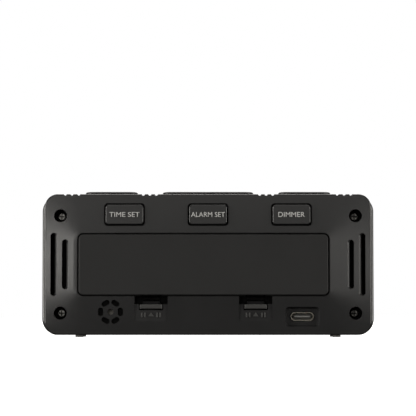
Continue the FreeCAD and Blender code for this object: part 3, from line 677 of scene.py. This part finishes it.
# %% Words as meshes
def word(text, width, height, at=(0.0, 0.0)):
    """Flat word in its own plane, stretched to a width and a cap height about a point."""
    clear_selection()
    bpy.ops.object.text_add()
    made = bpy.context.object
    made.data.body = text
    made.data.extrude = 0.5
    made.data.resolution_u = 4
    bpy.ops.object.convert(target="MESH")
    made = bpy.context.object
    corners = [v.co for v in made.data.vertices]
    lows = [min(c[n] for c in corners) for n in range(3)]
    highs = [max(c[n] for c in corners) for n in range(3)]
    spans = [b - a for a, b in zip(lows, highs)]
    scale = (width / spans[0], height / spans[1], INK_THICK / spans[2])
    for vertex in made.data.vertices:
        vertex.co = [(vertex.co[n] - (lows[n] + highs[n]) / 2) * scale[n] for n in range(3)]
        vertex.co.x += at[0]
        vertex.co.y += at[1]
    return made


def bar(width, height, at, thick=None):
    """Line with softened edges: a printed one, or a raised one of its own thickness."""
    thick = thick or INK_THICK
    clear_selection()
    bpy.ops.mesh.primitive_cube_add(size=1.0, location=(at[0], at[1], 0.0))
    made = bpy.context.object
    made.scale = (width, height, thick)
    bpy.ops.object.transform_apply(location=True, rotation=False, scale=True)
    bpy.ops.object.mode_set(mode="EDIT")
    bpy.ops.mesh.select_all(action="SELECT")
    bpy.ops.mesh.bevel(offset=min(width, height, thick) * 0.3, segments=2, affect="EDGES")
    bpy.ops.object.mode_set(mode="OBJECT")
    return made


SHOULDER, LIP = 0.62, -0.36


def bell(width, height, at):
    """Printed bell: a round shoulder that flares to a wide lip, cut off flat below."""
    clear_selection()
    bpy.ops.mesh.primitive_circle_add(vertices=24, radius=0.5, fill_type="NGON")
    made = bpy.context.object
    bpy.ops.object.mode_set(mode="EDIT")
    bpy.ops.mesh.select_all(action="SELECT")
    bpy.ops.mesh.extrude_region_move(TRANSFORM_OT_translate={"value": (0, 0, 1)})
    bpy.ops.object.mode_set(mode="OBJECT")
    for vertex in made.data.vertices:
        across, up, deep = vertex.co
        flare = SHOULDER + (1.0 - SHOULDER) * max(0.0, -up * 2.0) ** 1.5
        vertex.co = (across * 2 * flare * width / 2 + at[0],
                     max(up, LIP) * height + at[1], (deep - 0.5) * INK_THICK)
    return made


def print_on(pieces, name, place, body):
    """Join printed pieces, lay them in place and let them ride on a key's body."""
    made = joined(pieces, name)
    settle(made, name, place)
    made.data.materials.clear()
    made.data.materials.append(ink.material)
    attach(made, body)
    return made


# %% Legends on the three rear keys
CAP_HEIGHT = 1.9 * MM
legends = (("dimmer", "DIMMER", 10.3 * MM), ("alarm_set", "ALARM SET", 13.2 * MM),
           ("time_set", "TIME SET", 11.8 * MM))
tip = Matrix.Rotation(CROWN_LEAN, 4, "X")
for key, text, width in legends:
    centre = middle_of(key + "_key")
    face_y = PLATEAU_Y + KEY_PROUD - fall(Vector((CROWN_X, 0.0, centre.z))) + INK_RISE
    place = Matrix.Translation((centre.x, face_y, centre.z)) @ tip @ FACING_REAR
    print_on([word(text, width, CAP_HEIGHT)], key + "_legend", place, key + "_button")
print("rear legends printed")

# %% Legends on the three top keys
top_z = cad_box[1].z + INK_RISE
RULE, STROKE = 0.3 * MM, 0.45 * MM
plans = {
    "alarm_plus": lambda: [bell(2.4 * MM, 2.3 * MM, (-4.6 * MM, 1.7 * MM)),
                           word("ON/OFF", 9.3 * MM, CAP_HEIGHT, (1.5 * MM, 1.7 * MM)),
                           bar(12.8 * MM, RULE, (0.4 * MM, -0.15 * MM)),
                           bar(2.0 * MM, STROKE, (0.0, -2.2 * MM)),
                           bar(STROKE, 2.0 * MM, (0.0, -2.2 * MM))],
    "snooze": lambda: [word("SNOOZE/LIGHT", 26.5 * MM, 2.6 * MM, (0.3 * MM, -0.1 * MM))],
    "volume_minus": lambda: [word("VOLUME", 10.7 * MM, CAP_HEIGHT, (0.4 * MM, 1.4 * MM)),
                             bar(13.6 * MM, RULE, (0.4 * MM, -0.3 * MM)),
                             bar(2.2 * MM, STROKE, (0.2 * MM, -2.0 * MM))],
}
for key, plan in plans.items():
    centre = middle_of(key + "_key")
    place = Matrix.Translation((centre.x, centre.y, top_z))
    print_on(plan(), key + "_legend", place, key + "_button")
print("top legends printed")

# %% [markdown]
# ## Raised marks on the latch plates
# Below each finger tab a small raised arrow between grip bars says which way to push. The marks
# are moulded with the case and stand a quarter of a millimetre proud. They are made paler than the
# plastic around them, a painted highlight for the light that catches them. The arrow is a
# three-sided disc, extruded and inset; the bars are the printed line's, made thicker.

# %% Latch arrows
MARK_HEIGHT = 0.25 * MM
MARK_Y, MARK_Z = 10.85 * MM, 8.6 * MM
ARROW_W, ARROW_H, ARROW_RIM = 2.6 * MM, 2.2 * MM, 0.12 * MM
GRIP_W, GRIP_H = 0.6 * MM, 1.9 * MM


def arrow_mark(name, x):
    """Arrow and four grip bars, raised on the plate below a finger tab."""
    clear_selection()
    bpy.ops.mesh.primitive_circle_add(vertices=3, radius=0.5, fill_type="NGON")
    made = bpy.context.object
    made.scale = (ARROW_W, ARROW_H, 1.0)
    bpy.ops.object.transform_apply(location=False, rotation=False, scale=True)
    bpy.ops.object.mode_set(mode="EDIT")
    bpy.ops.mesh.select_all(action="SELECT")
    bpy.ops.mesh.extrude_region_move(TRANSFORM_OT_translate={"value": (0, 0, MARK_HEIGHT)})
    select_faces(made, lambda at, normal: normal.z > 0.9)
    bpy.ops.mesh.inset(thickness=ARROW_RIM, depth=0.0)
    bpy.ops.object.mode_set(mode="OBJECT")
    grips = [bar(GRIP_W, GRIP_H, (across * MM, 0.0), thick=MARK_HEIGHT * 2)
             for across in (-3.6, -2.4, 2.4, 3.6)]
    made = joined([made, *grips], name)
    settle(made, name, Matrix.Translation((x, MARK_Y, MARK_Z)) @ FACING_REAR)
    # Painted highlight: the marks are in the paler plastic.
    made.data.materials.append(painted_highlight_plastic.material)
    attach(made, "case")
    return made


for side in ("left", "right"):
    arrow_mark(f"latch_arrow_{side}", middle_of(f"latch_tab_{side}").x)
print("arrows moulded")

# %% [markdown]
# ## Coiled contacts
# A cell's flat end is pressed by a conical coil. The Screw modifier winds a small round wire into
# a spring, and a taper narrows it towards the cell.


# %% Coils
def coil():
    """Conical spring that stands on the origin, its wide end down."""
    wire, wide, narrow, length, turns = 0.28 * MM, 3.4 * MM, 2.0 * MM, 2.3 * MM, 4
    clear_selection()
    bpy.ops.mesh.primitive_circle_add(vertices=10, radius=wire, location=(wide, 0, 0),
                                      rotation=(math.pi / 2, 0, 0))
    made = bpy.context.object
    bpy.ops.object.transform_apply(location=True, rotation=True, scale=False)
    wind = made.modifiers.new("wind", "SCREW")
    wind.axis, wind.angle, wind.screw_offset = "Z", math.tau, (length - 2 * wire) / turns
    wind.iterations, wind.steps, wind.render_steps = turns, 28, 28
    wind.use_merge_vertices = False
    bpy.ops.object.modifier_apply(modifier="wind")
    for vertex in made.data.vertices:
        share = min(1.0, max(0.0, vertex.co.z / length))
        around = Vector((vertex.co.x, vertex.co.y, 0.0))
        vertex.co -= around.normalized() * (wide - narrow) * share
    bpy.ops.object.mode_set(mode="EDIT")
    bpy.ops.mesh.select_all(action="SELECT")
    bpy.ops.mesh.remove_doubles(threshold=WELD / 2)
    bpy.ops.mesh.select_all(action="DESELECT")
    bpy.ops.mesh.select_mode(type="EDGE")
    bpy.ops.mesh.select_non_manifold()
    bpy.ops.mesh.edge_face_add()
    bpy.ops.mesh.select_all(action="SELECT")
    bpy.ops.mesh.normals_make_consistent(inside=False)
    bpy.ops.object.mode_set(mode="OBJECT")
    bpy.ops.object.shade_smooth_by_angle(angle=math.radians(40.0))
    return made


cone_low, cone_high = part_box("contact_springs")
cell_y = middle_of("battery_upper_left").y
PLATE_THICK = 0.3 * MM
coils = []
for row, plate_x, way in (("upper", cone_low.x, 1), ("lower", cone_high.x, -1)):
    turn = Matrix.Rotation(way * math.pi / 2, 4, "Y")
    cell_z = middle_of(f"battery_{row}_left").z
    place = Matrix.Translation((plate_x + way * PLATE_THICK, cell_y, cell_z))
    coils.append(settle(coil(), f"coil_{row}", place @ turn))
contact_coils = joined(coils, "contact_coils")
contact_coils.data.materials.clear()
contact_coils.data.materials.append(contact_nickel.material)
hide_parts("contact_springs")
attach(contact_coils, "case")
print("coils wound")

# %% [markdown]
# ## Light and stage
# The clock is nearly black, so its shape is read from soft reflections. All lamps stand equally
# far off, and each fills a span of azimuth and elevation, so its place tells which surface mirrors
# it. Two narrow lamps stand just off the camera's line, where the leaning ends of the rear mirror
# them, the left one brighter. One above them lights the upper lean, two broad ones the ends of the
# case, one overhead the top, and one the display side. The floor and the surround are plain and
# pale. Only the camera sees them, so that they don't grey the plastic.

# %% Floor and surround
clear_selection()
bpy.ops.mesh.primitive_circle_add(vertices=64, radius=6.0, fill_type="NGON", location=(0, 0, 0))
floor = bpy.context.object
floor.name = "floor"
floor_paint = Finish("pale_floor", (0.70, 0.70, 0.70), 0.9, emission_strength=1.0)
floor_paint.put("Specular IOR Level", 0.0)
flat_place = floor_paint.node("ShaderNodeVectorMath", {"operation": "MULTIPLY"},
                              {0: floor_paint.place, 1: (1.0, 1.0, 0.0)}, "Vector")
away = floor_paint.node("ShaderNodeVectorMath", {"operation": "LENGTH"}, {0: flat_place}, "Value")
NEAR_GREY, FAR_WHITE = (0.86, 0.86, 0.86), (1.0, 1.0, 1.0)
floor_paint.put("Emission Color", floor_paint.blend(away.ramp(0.08, 0.5), NEAR_GREY, FAR_WHITE))
floor.data.materials.append(floor_paint.material)
floor.visible_glossy = floor.visible_diffuse = floor.visible_shadow = False

world = bpy.data.worlds.new("studio")
bpy.context.scene.world = world
world.use_nodes = True
background = world.node_tree.nodes["Background"]
background.inputs["Color"].default_value = (1.0, 1.0, 1.0, 1.0)
background.inputs["Strength"].default_value = 1.0
world.cycles_visibility.glossy = world.cycles_visibility.diffuse = False
bpy.context.scene.view_settings.view_transform = "Standard"
print("floor and surround are in place")


# %% Lamps
LAMP_DISTANCE = 1.5
LAMP_AIM = Vector((0.0, 0.0, 0.028))
LAMP_COLOUR = (1.0, 0.975, 0.93)


def lamp(name, azimuths, elevations, power):
    """Flat lamp that fills a span of azimuth from the rear's axis and of elevation, in degrees."""
    azimuth, elevation = (math.radians(sum(span) / 2) for span in (azimuths, elevations))
    data = bpy.data.lights.new(name, "AREA")
    data.shape, data.energy, data.color = "RECTANGLE", power, LAMP_COLOUR
    halves = [math.radians(span[1] - span[0]) / 2 for span in (azimuths, elevations)]
    data.size, data.size_y = [2 * LAMP_DISTANCE * math.tan(half) for half in halves]
    light = bpy.data.objects.new(name, data)
    bpy.context.scene.collection.objects.link(light)
    level = math.cos(elevation)
    towards = Vector((math.sin(azimuth) * level, math.cos(azimuth) * level, math.sin(elevation)))
    light.location = LAMP_AIM + towards * LAMP_DISTANCE
    light.rotation_euler = (-towards).to_track_quat("-Z", "Y").to_euler()
    light.visible_camera = False


lamp("left_strip", (8.5, 16), (-1, 6), 0.70)
lamp("right_strip", (-16, -8.5), (-1, 6), 0.21)
lamp("left_side", (55, 85), (-8, 22), 20.0)
lamp("right_side", (-85, -55), (-8, 22), 14.0)
lamp("upper_strip", (-30, 30), (8, 20), 1.05)
lamp("overhead", (-30, 30), (72, 98), 12.0)
lamp("display_side", (150, 200), (10, 50), 12.0)
print("lamps lit")
